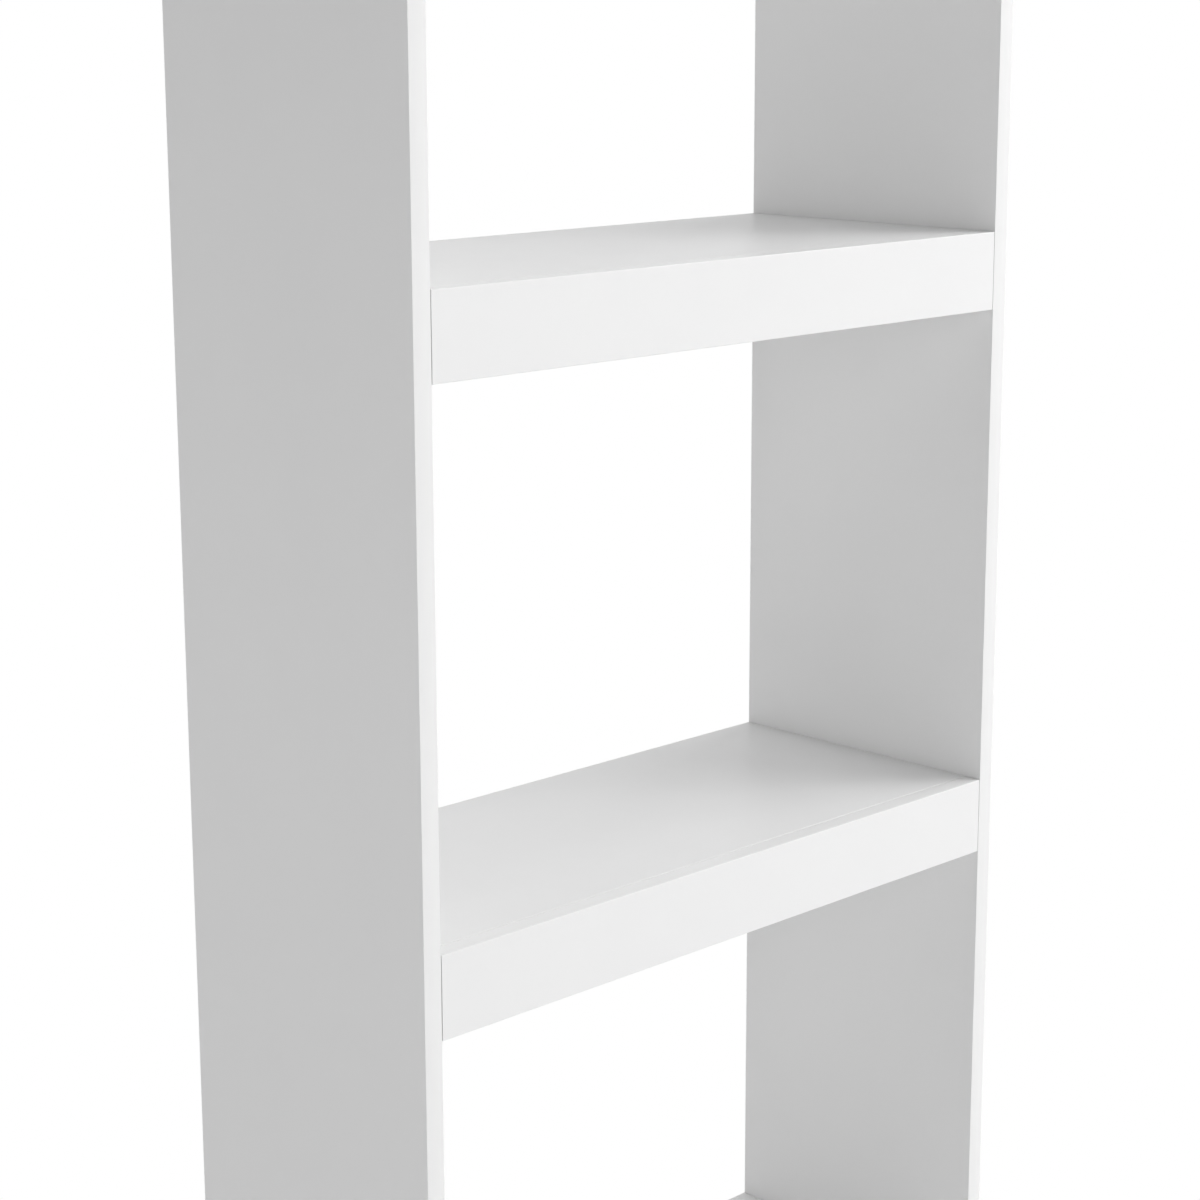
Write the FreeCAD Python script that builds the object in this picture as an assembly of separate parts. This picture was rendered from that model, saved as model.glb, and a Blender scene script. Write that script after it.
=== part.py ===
# Open-backed shelving unit in faced chipboard: two side panels, five shelves with deep front rails, and the
# knock-down fittings that hold them together. All sizes are in millimetres.
# X runs across the width, -Y is the front, +Z is up. The origin is on the floor, under the middle of the unit.
import FreeCAD, Part
import math
import os

# Carcase
outer_width = 614.0
unit_height = 1845.0
unit_depth = 255.0
board_thickness = 15.0
rail_height = 61.0
rail_end_gap = 0.75
levels = ("bottom", "lower", "middle", "upper", "top")

# Edge bands
band_thickness = 0.8
band_bevel = 0.2

# Cam lock, sunk in the shelf's underside
cam_radius = 7.4
cam_pocket_radius = 7.5
cam_pocket_floor = 2.5
cam_end_room = 0.5
cam_from_panel = 24.0
cam_from_front = 64.0
track_radius = 5.0
track_offset = 0.7
track_roof = 0.9
hook_end_angle = 35.0
entry_angle = 238.0
entry_spread = 58.0
cross_length = 6.0
cross_width = 1.1
cross_depth = 2.4

# Cam bolt, from the side panel into the cam lock
thread_radius = 2.5
thread_length = 11.0
collar_radius = 3.3
collar_length = 3.0
neck_radius = 2.0
head_radius = 3.3
head_length = 2.4
head_taper = 1.3
head_clearance = 0.1
bolt_bore_radius = 3.5

# Wooden dowel
dowel_radius = 4.0
dowel_in_shelf = 20.0
dowel_in_face = 10.0
dowel_from_rear = 64.0
rail_dowel_from_end = 96.0

# Floor glide, pressed into the side panel's lower end
glide_height = 4.0
glide_radius = 7.0
glide_bevel = 1.2
glide_stem_radius = 3.0
glide_stem_length = 12.0
glide_from_edge = 32.0

# Wall bracket under the top shelf, and its screw
bracket_leaf = 30.0
bracket_width = 22.0
bracket_thickness = 2.0
bracket_bend_radius = 1.5
bracket_corner_radius = 4.0
bracket_from_panel = 60.0
bracket_wall_hole_radius = 2.75
bracket_screw_hole_radius = 2.1
bracket_hole_from_corner = 18.0
screw_radius = 1.75
screw_length = 12.0
screw_head_radius = 3.6
screw_head_height = 2.0
screw_head_bevel = 0.8

# Small round holes, pins and fittings repeat so often that each is drawn with flats in place of a true round
round_flats = 16

# Fits
fit_clearance = 0.05
hole_end_room = 0.5
slot_clearance = 0.2
overrun = 1.0

# Places that follow from the sizes above
half_width = outer_width / 2
half_depth = unit_depth / 2
inner_half = half_width - board_thickness
panel_height = unit_height - glide_height
level_pitch = (panel_height - rail_height) / (len(levels) - 1)
shelf_front = -half_depth + board_thickness
shelf_rear = half_depth - band_thickness
cam_pocket_depth = board_thickness - cam_pocket_floor
cam_height = cam_pocket_depth - cam_end_room
mid_board = board_thickness / 2
track_lean = math.radians(hook_end_angle + 180)
track_x = track_offset * math.cos(track_lean)
track_y = track_offset * math.sin(track_lean)

X = FreeCAD.Vector(1, 0, 0)
Y = FreeCAD.Vector(0, 1, 0)
Z = FreeCAD.Vector(0, 0, 1)
sides = {"left": -1, "right": 1}


def at(x, y, z):
    return FreeCAD.Vector(x, y, z)


def level_top(level):
    return glide_height + rail_height + levels.index(level) * level_pitch


def block(low, high):
    size = high - low
    return Part.makeBox(size.x, size.y, size.z, low)


def ring(distance, radius):
    """Ridge points of a round section that lies across the X axis."""
    turn = 2 * math.pi / round_flats
    return [at(distance, radius * math.cos(i * turn), radius * math.sin(i * turn)) for i in range(round_flats)]


def turned(profile, base, along):
    """A turned piece: profile lists (distance along the axis, radius) from its first end to its last."""
    rings = [ring(distance, radius) for distance, radius in profile]
    faces = [Part.Face(Part.makePolygon(end + end[:1])) for end in (rings[0], rings[-1])]
    for first, second in zip(rings, rings[1:]):
        for i in range(round_flats):
            corners = [first[i - 1], first[i], second[i], second[i - 1], first[i - 1]]
            faces.append(Part.Face(Part.makePolygon(corners)))
    solid = Part.Solid(Part.Shell(faces)).removeSplitter()
    solid.Placement = FreeCAD.Placement(base, FreeCAD.Rotation(X, along))
    return solid


def round_bar(radius, length, base, along):
    return turned(((0, radius), (length, radius)), base, along)


def drilling(radius, depth, mouth, inward):
    """A cutter from just outside the mouth to the hole's flat end. Its flats clear a true round of that radius."""
    return round_bar(radius / math.cos(math.pi / round_flats), depth + overrun, mouth - inward * overrun, inward)


def edge_band(start, along, across, outward):
    """A strip glued to a board's edge, with both outer arrises bevelled. along holds the strip's length."""
    profile = (
        (0, 0),
        (board_thickness, 0),
        (board_thickness, band_thickness - band_bevel),
        (board_thickness - band_bevel, band_thickness),
        (band_bevel, band_thickness),
        (0, band_thickness - band_bevel),
        (0, 0),
    )
    points = [start + across * u + outward * v for u, v in profile]
    return Part.Face(Part.makePolygon(points)).extrude(along)


def one_solid(shape):
    """The single solid of a cut or fused shape, with its flat faces merged."""
    return shape.removeSplitter().Solids[0]


def cam_axes(level):
    """Foot of each cam lock's axis on the shelf's underside, with the side that its bolt comes from."""
    underside = level_top(level) - board_thickness
    reach = inner_half - cam_from_panel
    return [(at(side * reach, shelf_front + cam_from_front, underside), side) for side in sides.values()]


def end_dowel_mouths(level):
    """Where each end dowel crosses from the shelf into a side panel."""
    height = level_top(level) - mid_board
    return [(at(side * inner_half, shelf_rear - dowel_from_rear, height), side) for side in sides.values()]


def rail_dowel_mouths(level):
    """Where each rail dowel crosses from the shelf into its front rail."""
    reach = inner_half - rail_dowel_from_end
    return [at(x, shelf_front, level_top(level) - mid_board) for x in (-reach, 0, reach)]


def glide_places(side):
    """Centres of one side panel's two floor glides, at the panel's lower end."""
    reach = half_depth - glide_from_edge
    return [at(side * (half_width - mid_board), y, glide_height) for y in (-reach, reach)]


def bracket_corners():
    """Middle of each wall bracket's outer corner, under the top shelf's rear edge."""
    reach = inner_half - bracket_from_panel
    underside = level_top(levels[-1]) - board_thickness
    return [at(side * reach, half_depth, underside) for side in sides.values()]


def side_panel(side):
    inner_face = side * inner_half
    outer_face = side * half_width
    panel = block(
        at(min(inner_face, outer_face), -half_depth + band_thickness, glide_height),
        at(max(inner_face, outer_face), half_depth - band_thickness, glide_height + panel_height - band_thickness),
    )
    outward = X * side
    cutters = []
    for level in levels:
        for foot, end in cam_axes(level):
            if end == side:
                mouth = at(inner_face, foot.y, foot.z + mid_board)
                cutters.append(drilling(thread_radius + fit_clearance, thread_length + hole_end_room, mouth, outward))
        for mouth, end in end_dowel_mouths(level):
            if end == side:
                cutters.append(drilling(dowel_radius, dowel_in_face + hole_end_room, mouth, outward))
    for foot in glide_places(side):
        cutters.append(drilling(glide_stem_radius + fit_clearance, glide_stem_length + hole_end_room, foot, Z))
    return one_solid(panel.cut(cutters))


def side_panel_bands(side):
    """Front and rear bands run the panel's full height; the top band lies between them."""
    low_x = min(side * inner_half, side * half_width)
    rise = Z * panel_height
    core_top = glide_height + panel_height - band_thickness
    core_depth = unit_depth - 2 * band_thickness
    return [
        edge_band(at(low_x, -half_depth + band_thickness, glide_height), rise, X, -Y),
        edge_band(at(low_x, half_depth - band_thickness, glide_height), rise, X, Y),
        edge_band(at(low_x, -half_depth + band_thickness, core_top), Y * core_depth, X, Z),
    ]


def shelf(level):
    top = level_top(level)
    board = block(at(-inner_half, shelf_front, top - board_thickness), at(inner_half, shelf_rear, top))
    cutters = []
    for foot, side in cam_axes(level):
        cutters.append(drilling(cam_pocket_radius, cam_pocket_depth, foot, Z))
        mouth = at(side * inner_half, foot.y, foot.z + mid_board)
        cutters.append(drilling(bolt_bore_radius, cam_from_panel, mouth, X * -side))
    for mouth, side in end_dowel_mouths(level):
        cutters.append(drilling(dowel_radius, dowel_in_shelf + hole_end_room, mouth, X * -side))
    for mouth in rail_dowel_mouths(level):
        cutters.append(drilling(dowel_radius, dowel_in_shelf + hole_end_room, mouth, Y))
    if level == levels[-1]:
        for corner in bracket_corners():
            foot = corner - Y * bracket_hole_from_corner
            depth = screw_length - bracket_thickness + hole_end_room
            cutters.append(drilling(screw_radius + fit_clearance, depth, foot, Z))
    return one_solid(board.cut(cutters))


def shelf_rear_band(level):
    start = at(-inner_half, shelf_rear, level_top(level) - board_thickness)
    return edge_band(start, X * (2 * inner_half), Z, Y)


def rail(level):
    top = level_top(level)
    half_length = inner_half - rail_end_gap
    board = block(
        at(-half_length, -half_depth, top - rail_height + band_thickness),
        at(half_length, shelf_front, top - band_thickness),
    )
    cutters = [
        drilling(dowel_radius, dowel_in_face + hole_end_room, mouth, -Y) for mouth in rail_dowel_mouths(level)
    ]
    return one_solid(board.cut(cutters))


def rail_bands(level):
    top = level_top(level)
    half_length = inner_half - rail_end_gap
    length = X * (2 * half_length)
    return [
        edge_band(at(-half_length, -half_depth, top - band_thickness), length, Y, Z),
        edge_band(at(-half_length, -half_depth, top - rail_height + band_thickness), length, Y, -Z),
    ]


def wedge(radius, height, base, start_angle, spread):
    """A slice of a disc, for cutting through part of a round wall."""
    slice_of_disc = Part.makeCylinder(radius, height, base, Z, spread)
    slice_of_disc.rotate(base, Z, start_angle)
    return slice_of_disc


def cam_lock():
    """The lock in its own frame, driven face down on the XY plane, with its bolt coming in along +X.

    The wall round the hollow is eccentric, so turning the lock draws the bolt's head towards the axis. The head goes
    in at the wide entry, and the narrow slot from there to the hook's end lets only the neck through.
    """
    body = round_bar(cam_radius, cam_height, at(0, 0, 0), Z)
    wall_reach = cam_radius + overrun
    hollow_half = cam_height - track_roof - mid_board
    hollow = round_bar(track_radius, 2 * hollow_half, at(track_x, track_y, mid_board - hollow_half), Z)
    slot_half = neck_radius + slot_clearance
    slot_spread = hook_end_angle + 360 - entry_angle
    slot = wedge(wall_reach, 2 * slot_half, at(0, 0, mid_board - slot_half), entry_angle, slot_spread)
    entry_start = entry_angle - entry_spread / 2
    entry = wedge(wall_reach, 2 * hollow_half, at(0, 0, mid_board - hollow_half), entry_start, entry_spread)
    low_corner = at(-cross_length / 2, -cross_width / 2, -overrun)
    bar = block(low_corner, at(cross_length / 2, cross_width / 2, cross_depth))
    crossed_bar = bar.copy()
    crossed_bar.rotate(at(0, 0, 0), Z, 90)
    return one_solid(body.cut([hollow, slot, entry, bar.fuse(crossed_bar)]))


def cam_locks(level):
    locks = []
    for foot, side in cam_axes(level):
        lock = cam_lock()
        lock.rotate(at(0, 0, 0), Z, 90 - 90 * side)
        lock.translate(foot)
        locks.append(lock)
    return locks


def head_shoulder():
    """How far from the cam lock's axis the bolt head's widest ring meets the track, towards the side panel."""
    flat_of_track = track_radius * math.cos(math.pi / round_flats)
    sideways = head_radius + abs(track_y)
    return math.sqrt(flat_of_track**2 - sideways**2) + track_x - head_clearance


def cam_bolts(level):
    """Thread in the side panel, collar at its face, then the neck to the head that the cam lock's hook holds."""
    neck_end = cam_from_panel - head_shoulder() - head_taper
    profile = (
        (-thread_length, thread_radius),
        (0, thread_radius),
        (0, collar_radius),
        (collar_length, collar_radius),
        (collar_length, neck_radius),
        (neck_end, neck_radius),
        (neck_end + head_taper, head_radius),
        (neck_end + head_taper + head_length, head_radius),
    )
    return [
        turned(profile, at(side * inner_half, foot.y, foot.z + mid_board), X * -side)
        for foot, side in cam_axes(level)
    ]


def dowel(mouth, into_face):
    """A pin from inside the shelf, through the joint, into the other board."""
    length = dowel_in_shelf + dowel_in_face
    return round_bar(dowel_radius - fit_clearance, length, mouth - into_face * dowel_in_shelf, into_face)


def end_dowels(level):
    return [dowel(mouth, X * side) for mouth, side in end_dowel_mouths(level)]


def rail_dowels(level):
    return [dowel(mouth, -Y) for mouth in rail_dowel_mouths(level)]


def floor_glides(side):
    """Each glide's bevelled foot stands on the floor, and its stem is pressed up into the panel."""
    profile = (
        (0, glide_radius - glide_bevel),
        (glide_bevel, glide_radius),
        (glide_height, glide_radius),
        (glide_height, glide_stem_radius),
        (glide_height + glide_stem_length, glide_stem_radius),
    )
    return [turned(profile, foot - Z * glide_height, Z) for foot in glide_places(side)]


def bracket_section(corner):
    """The bent strip's L outline in the YZ plane, from the wall leaf's foot round to the shelf leaf's front."""
    inner = bracket_bend_radius
    outer = bracket_bend_radius + bracket_thickness
    centre = corner - Y * outer - Z * outer
    lean = math.sqrt(0.5)
    foot = centre.z - (bracket_leaf - outer)
    front = centre.y - (bracket_leaf - outer)
    x = corner.x

    def arc(radius):
        return Part.Arc(
            at(x, centre.y + radius, centre.z),
            at(x, centre.y + radius * lean, centre.z + radius * lean),
            at(x, centre.y, centre.z + radius),
        ).toShape()

    def line(first, second):
        return Part.makeLine(at(x, *first), at(x, *second))

    edges = [
        line((centre.y + inner, foot), (centre.y + outer, foot)),
        line((centre.y + outer, foot), (centre.y + outer, centre.z)),
        arc(outer),
        line((centre.y, centre.z + outer), (front, centre.z + outer)),
        line((front, centre.z + outer), (front, centre.z + inner)),
        line((front, centre.z + inner), (centre.y, centre.z + inner)),
        arc(inner),
        line((centre.y + inner, centre.z), (centre.y + inner, foot)),
    ]
    return Part.Face(Part.Wire(Part.__sortEdges__(edges)))


def leaf_corners(strip):
    """The short straight edges at the corners of both leaves' free ends: each is as long as the strip is thick."""
    straight = [edge for edge in strip.Edges if isinstance(edge.Curve, Part.Line)]
    return [edge for edge in straight if abs(edge.Length - bracket_thickness) < fit_clearance]


def wall_bracket(corner):
    strip = bracket_section(corner - X * (bracket_width / 2)).extrude(X * bracket_width)
    strip = strip.makeFillet(bracket_corner_radius, leaf_corners(strip))
    wall_hole = corner - Z * bracket_hole_from_corner
    screw_hole = corner - Y * bracket_hole_from_corner - Z * bracket_thickness
    through = bracket_thickness + overrun
    cutters = [
        Part.makeCylinder(bracket_wall_hole_radius, through + overrun, wall_hole + Y * overrun, -Y),
        drilling(bracket_screw_hole_radius, through, screw_hole, Z),
    ]
    return one_solid(strip.cut(cutters))


def bracket_screws():
    """Pan-head screws, up through the bracket's leaf into the top shelf."""
    profile = (
        (-screw_head_height, screw_head_radius - screw_head_bevel),
        (-screw_head_height + screw_head_bevel, screw_head_radius),
        (0, screw_head_radius),
        (0, screw_radius),
        (screw_length, screw_radius),
    )
    drop = Y * bracket_hole_from_corner + Z * bracket_thickness
    return [turned(profile, corner - drop, Z) for corner in bracket_corners()]


def all_pieces():
    pieces = {}
    for name, side in sides.items():
        pieces[name + "_side_panel"] = side_panel(side)
        pieces[name + "_side_panel_edge_bands"] = Part.makeCompound(side_panel_bands(side))
        pieces[name + "_floor_glides"] = Part.makeCompound(floor_glides(side))
    for level in levels:
        pieces[level + "_shelf"] = shelf(level)
        pieces[level + "_shelf_rear_edge_band"] = shelf_rear_band(level)
        pieces[level + "_front_rail"] = rail(level)
        pieces[level + "_front_rail_edge_bands"] = Part.makeCompound(rail_bands(level))
        pieces[level + "_cam_locks"] = Part.makeCompound(cam_locks(level))
        pieces[level + "_cam_bolts"] = Part.makeCompound(cam_bolts(level))
        pieces[level + "_shelf_end_dowels"] = Part.makeCompound(end_dowels(level))
        pieces[level + "_front_rail_dowels"] = Part.makeCompound(rail_dowels(level))
    for name, corner in zip(sides, bracket_corners()):
        pieces[name + "_wall_bracket"] = wall_bracket(corner)
    pieces["wall_bracket_screws"] = Part.makeCompound(bracket_screws())
    return pieces


os.makedirs("parts", exist_ok=True)
for name, shape in all_pieces().items():
    shape.exportStep("parts/" + name + ".step")
    print(name, "valid" if shape.isValid() else "NOT VALID", len(shape.Solids), "solids")
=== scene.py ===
import math

import bmesh
import bpy
from mathutils import Euler, Matrix, Vector


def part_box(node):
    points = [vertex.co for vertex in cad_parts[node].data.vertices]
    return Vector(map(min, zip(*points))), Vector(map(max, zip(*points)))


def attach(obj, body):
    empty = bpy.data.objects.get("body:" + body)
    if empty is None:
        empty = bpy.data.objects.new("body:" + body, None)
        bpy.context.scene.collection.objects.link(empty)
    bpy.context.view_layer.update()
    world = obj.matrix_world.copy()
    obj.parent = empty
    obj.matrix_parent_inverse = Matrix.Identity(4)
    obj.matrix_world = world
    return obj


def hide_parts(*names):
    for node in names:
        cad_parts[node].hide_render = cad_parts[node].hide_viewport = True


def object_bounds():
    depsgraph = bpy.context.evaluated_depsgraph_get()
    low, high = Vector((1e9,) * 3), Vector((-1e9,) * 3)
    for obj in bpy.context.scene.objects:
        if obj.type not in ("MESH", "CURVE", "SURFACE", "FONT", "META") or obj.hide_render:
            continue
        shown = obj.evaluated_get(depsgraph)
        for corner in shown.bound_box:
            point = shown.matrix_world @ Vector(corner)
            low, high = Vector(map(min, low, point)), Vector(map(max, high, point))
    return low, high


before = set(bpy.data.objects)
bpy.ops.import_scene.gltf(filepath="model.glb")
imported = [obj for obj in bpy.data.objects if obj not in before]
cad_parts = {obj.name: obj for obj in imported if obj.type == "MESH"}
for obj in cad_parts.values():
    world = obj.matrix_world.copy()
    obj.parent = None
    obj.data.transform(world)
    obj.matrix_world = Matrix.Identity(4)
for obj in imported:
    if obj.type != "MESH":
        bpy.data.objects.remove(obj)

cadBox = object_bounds()
mm = 0.001
sides = {"left": -1, "right": 1}
levels = ("bottom", "lower", "middle", "upper", "top")
scene = bpy.context.scene
print("frame loaded:", len(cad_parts), "nodes")


# Node trees

class Value:
    # wraps a socket: arithmetic on it adds Math nodes, and value["Name"] is another output of its node
    def __init__(self, tree, socket):
        self.tree = tree
        self.socket = socket

    def __getitem__(self, name):
        return Value(self.tree, self.socket.node.outputs[name])

    def math(self, operation, *others):
        return self.tree.node("ShaderNodeMath", dict(enumerate((self, *others))), operation=operation)

    def __add__(self, other):
        return self.math("ADD", other)

    def __sub__(self, other):
        return self.math("SUBTRACT", other)

    def __rsub__(self, other):
        return self.tree.node("ShaderNodeMath", {0: other, 1: self}, operation="SUBTRACT")

    def __mul__(self, other):
        return self.math("MULTIPLY", other)

    __radd__ = __add__
    __rmul__ = __mul__

    def above(self, limit):
        return self.math("GREATER_THAN", limit)

    def below(self, limit):
        return self.math("LESS_THAN", limit)

    def most(self, other):
        return self.math("MAXIMUM", other)

    def size(self):
        return self.math("ABSOLUTE")

    def ramp(self, low, high):
        # 0 up to low, 1 from high on, smooth between
        limits = {"Value": self, "From Min": low, "From Max": high}
        return self.tree.node("ShaderNodeMapRange", limits, interpolation_type="SMOOTHSTEP")

    def swing(self, amount):
        # noise swings about 0.5, and this about 0
        return (self - 0.5) * amount

    def parts(self):
        return self.tree.node("ShaderNodeSeparateXYZ", {"Vector": self})

    def stretched(self, x, y, z):
        return self.tree.node("ShaderNodeVectorMath", {0: self, 1: (x, y, z)}, operation="MULTIPLY")


class Tree:
    # a node tree being built
    def __init__(self, nodeTree):
        self.nodeTree = nodeTree

    def node(self, kind, values=None, **settings):
        made = self.nodeTree.nodes.new(kind)
        for name, setting in settings.items():
            if name == "stops":
                self.setStops(made.color_ramp, setting)
            else:
                setattr(made, name, setting)
        for name, value in (values or {}).items():
            socket = made.inputs[name] if isinstance(name, int) else self.openInput(made, name)
            if isinstance(value, Value):
                self.nodeTree.links.new(value.socket, socket)
            else:
                socket.default_value = value
        shown = [socket for socket in made.outputs if socket.enabled]
        return Value(self, shown[0]) if shown else None

    @staticmethod
    def openInput(made, name):
        return next(socket for socket in made.inputs if socket.enabled and socket.name == name)

    @staticmethod
    def setStops(ramp, stops):
        while len(ramp.elements) < len(stops):
            ramp.elements.new(1)
        for element, (place, colour) in zip(ramp.elements, stops):
            element.position = place
            element.color = (*colour, 1)

    def place(self):
        return self.node("ShaderNodeTexCoord")["Object"]

    def noise(self, where, grain, detail=2):
        # grain is the size of a speck, in metres
        return self.node("ShaderNodeTexNoise", {"Vector": where, "Scale": 1 / grain, "Detail": detail})

    def mix(self, share, first, second):
        return self.node("ShaderNodeMix", {"Factor": share, "A": first, "B": second}, data_type="RGBA")

    def shade(self, noise, limits, first, second):
        # from the first colour to the second while the noise goes from limit to limit
        return self.mix(noise.ramp(*limits), opaque(first), opaque(second))

    def bump(self, height, depth):
        return self.node("ShaderNodeBump", {"Height": height, "Distance": depth, "Strength": 1.0})


def emptyTree(block):
    # the cleared node tree of a material or world
    block.use_nodes = True
    block.node_tree.nodes.clear()
    return Tree(block.node_tree)


def opaque(colour):
    return (*colour, 1)


def shownObject(name, data):
    made = bpy.data.objects.new(name, data)
    scene.collection.objects.link(made)
    return made


def newMaterial(name, paint, secondPaint=None, secondShare=None):
    # paint(tree) gives the Principled shader's sockets, and secondPaint(tree) those of another one, which
    # shows where secondShare(tree) is 1
    material = bpy.data.materials.new(name)
    tree = emptyTree(material)
    shader = tree.node("ShaderNodeBsdfPrincipled", paint(tree))
    if secondPaint:
        second = tree.node("ShaderNodeBsdfPrincipled", secondPaint(tree))
        shader = tree.node("ShaderNodeMixShader", {0: secondShare(tree), 1: shader, 2: second})
    tree.node("ShaderNodeOutputMaterial", {"Surface": shader})
    return material


# Camera, at the photograph's place

frameSide = 1200     # px
viewpoint = {
    "place": (-1.4333, -1.4402, 1.5886),
    "heading": 45.296,             # degrees from +Y towards +X
    "tilt": -12.264,
    "focalPixels": 2740.3,
    "axisPixel": (635.8, 580.4),   # where the lens axis meets the frame
    "sensorWidth": 36,             # mm, as the lens
    "nearest": 0.05,               # metres: what the camera sees lies between these
    "farthest": 200,
}


def addCamera(view):
    camera = bpy.data.cameras.new("camera")
    camera.sensor_width = view["sensorWidth"]
    camera.lens = view["focalPixels"] / frameSide * camera.sensor_width
    camera.shift_x = 0.5 - view["axisPixel"][0] / frameSide
    camera.shift_y = view["axisPixel"][1] / frameSide - 0.5
    camera.clip_start = view["nearest"]
    camera.clip_end = view["farthest"]
    holder = shownObject("camera", camera)
    holder.location = view["place"]
    holder.rotation_euler = Euler((math.radians(90 + view["tilt"]), 0, -math.radians(view["heading"])))
    scene.camera = holder


addCamera(viewpoint)
scene.view_settings.view_transform = "Standard"
print("camera set")


# Floor, background and lamps

floorLook = {
    "colour": (0.88, 0.88, 0.88),
    "lift": 0.1,              # added where it is seen, to be near white round the shadow
    "fadeStart": 0.55,        # metres from the middle: it fades into the background
    "fadeEnd": 1.15,
    "reach": 60.0,
}
worldLevel = 0.15
mirroredLift = 30             # gloss mirrors only lamps above this: images of low ones wash out the tops
lamps = {
    # heading from -Y towards +X and lift, in degrees; metres away, metres wide, height aimed at; watts
    "rear_softbox": (180, 5, 4.0, 2.4, 1.0, 55.8),
    "right_softbox": (90, 50, 4.0, 2.4, 1.0, 49.6),
    "front_softbox": (15, 10, 4.0, 1.6, 1.0, 44.1),
    "front_right_softbox": (45, 35, 4.0, 1.6, 1.0, 40.9),
    "rear_right_softbox": (160, 20, 4.0, 1.6, 1.0, 37.2),
    "near_right_softbox": (60, 35, 4.0, 1.6, 1.0, 34.2),
    "front_left_softbox": (-45, 10, 4.0, 2.4, 1.0, 32.9),
    "rear_left_softbox": (-135, 40, 4.0, 2.4, 1.0, 10.9),
    "left_side_light": (-90, 0, 1.5, 0.8, 1.15, 1.7),
    "left_panel_light": (-110, 0, 2.0, 0.8, 1.2, 1.1),
}


def seenDirectly(tree):
    # 1 for camera rays and rays by way of gloss or glass
    path = tree.node("ShaderNodeLightPath")
    return path["Is Camera Ray"].most(path["Is Glossy Ray"]).most(path["Is Transmission Ray"])


def addFloor(look):
    material = bpy.data.materials.new("floor")
    tree = emptyTree(material)
    seen = seenDirectly(tree)
    flat = tree.place().stretched(1, 1, 0)
    distance = tree.node("ShaderNodeVectorMath", {0: flat}, operation="LENGTH")["Value"]
    matt = tree.node("ShaderNodeBsdfDiffuse", {"Color": opaque(look["colour"])})
    lift = tree.node("ShaderNodeEmission", {"Strength": seen * look["lift"]})
    lifted = tree.node("ShaderNodeAddShader", {0: matt, 1: lift})
    white = tree.node("ShaderNodeEmission", {"Strength": 1.0})
    faded = seen * distance.ramp(look["fadeStart"], look["fadeEnd"])
    surface = tree.node("ShaderNodeMixShader", {0: faded, 1: lifted, 2: white})
    # from beneath, the floor is clear, so that the undersides can be looked at
    beneath = tree.node("ShaderNodeNewGeometry")["Backfacing"]
    clear = tree.node("ShaderNodeBsdfTransparent")
    surface = tree.node("ShaderNodeMixShader", {0: beneath, 1: surface, 2: clear})
    tree.node("ShaderNodeOutputMaterial", {"Surface": surface})
    mesh = bpy.data.meshes.new("floor")
    reach = look["reach"]
    corners = [(-reach, -reach, 0), (reach, -reach, 0), (reach, reach, 0), (-reach, reach, 0)]
    mesh.from_pydata(corners, [], [(0, 1, 2, 3)])
    mesh.materials.append(material)
    floor = shownObject("floor", mesh)


def addBackground(level):
    # white where it is seen, and a light of this level on the object
    world = bpy.data.worlds.new("studio")
    tree = emptyTree(world)
    strength = seenDirectly(tree) * (1 - level) + level
    light = tree.node("ShaderNodeBackground", {"Color": opaque((1, 1, 1)), "Strength": strength})
    tree.node("ShaderNodeOutputWorld", {"Surface": light})
    scene.world = world


def addLamps(table):
    for name, (heading, lift, away, width, height, watts) in table.items():
        lamp = bpy.data.lights.new(name, "AREA")
        lamp.shape = "SQUARE"
        lamp.size = width
        lamp.energy = watts
        turn = Euler((math.radians(-lift), 0, math.radians(heading)))
        back = turn.to_matrix() @ Vector((0, -1, 0))
        holder = shownObject(name, lamp)
        holder.location = Vector((0, 0, height)) + away * back
        holder.rotation_euler = back.to_track_quat("Z", "Y").to_euler()
        holder.visible_camera = False
        holder.visible_glossy = lift > mirroredLift


addFloor(floorLook)
addBackground(worldLevel)
addLamps(lamps)
print("studio set:", len(lamps), "lamps")


# Finishes

def sockets(colour, roughness, normal, metallic=0.0):
    return {"Base Color": colour, "Metallic": metallic, "Roughness": roughness, "Normal": normal}


# painted shade: a patchy grey that darkens the white towards the inner corners where the shelves' tops meet
# the side panels
paintedShade = {
    "grey": (0.6, 0.6, 0.595),
    "most": 0.35,             # how much of the white it hides, right in the corner
    "spread": 7 * mm,         # it thins to a third over this distance
    "patchSize": 5 * mm,
    "thinnest": 0.8,          # patches multiply it by this, and by up to the patchiness more
    "patchiness": 0.4,
    "slack": 0.3 * mm,        # takes in the arrises along the corner
}


def withPaintedShade(tree, where, colour):
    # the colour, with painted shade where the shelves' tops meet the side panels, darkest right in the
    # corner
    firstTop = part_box(levels[0] + "_shelf")[1]
    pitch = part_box(levels[1] + "_shelf")[1].z - firstTop.z
    slack = paintedShade["slack"]
    spot = where.parts()
    height = spot["Z"] + (slack - firstTop.z)
    over = height.math("FLOORED_MODULO", pitch) - slack
    inward = firstTop.x - spot["X"].size()
    inside = inward.above(-slack) * spot["Z"].below(cadBox[1][2] - slack)
    away = (over + inward) * (-1 / paintedShade["spread"])
    patches = paintedShade["thinnest"] + paintedShade["patchiness"] * tree.noise(where, paintedShade["patchSize"])
    share = away.math("EXPONENT") * paintedShade["most"] * patches * inside
    return tree.mix(share, colour, opaque(paintedShade["grey"]))


facing = {
    "white": (0.82, 0.82, 0.82),
    "drift": (0.813, 0.813, 0.814),   # the white where the paper is a little thinner
    "driftSize": 90 * mm,
    "driftRange": (0.35, 0.75),       # the noise where the drift starts and is full
    "pearlSize": 0.9 * mm,
    "pearlDepth": 0.006 * mm,
    "sheenSize": 22.5 * mm,
    "roughness": 0.40,
    "sheenDrift": 0.07,
}


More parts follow.
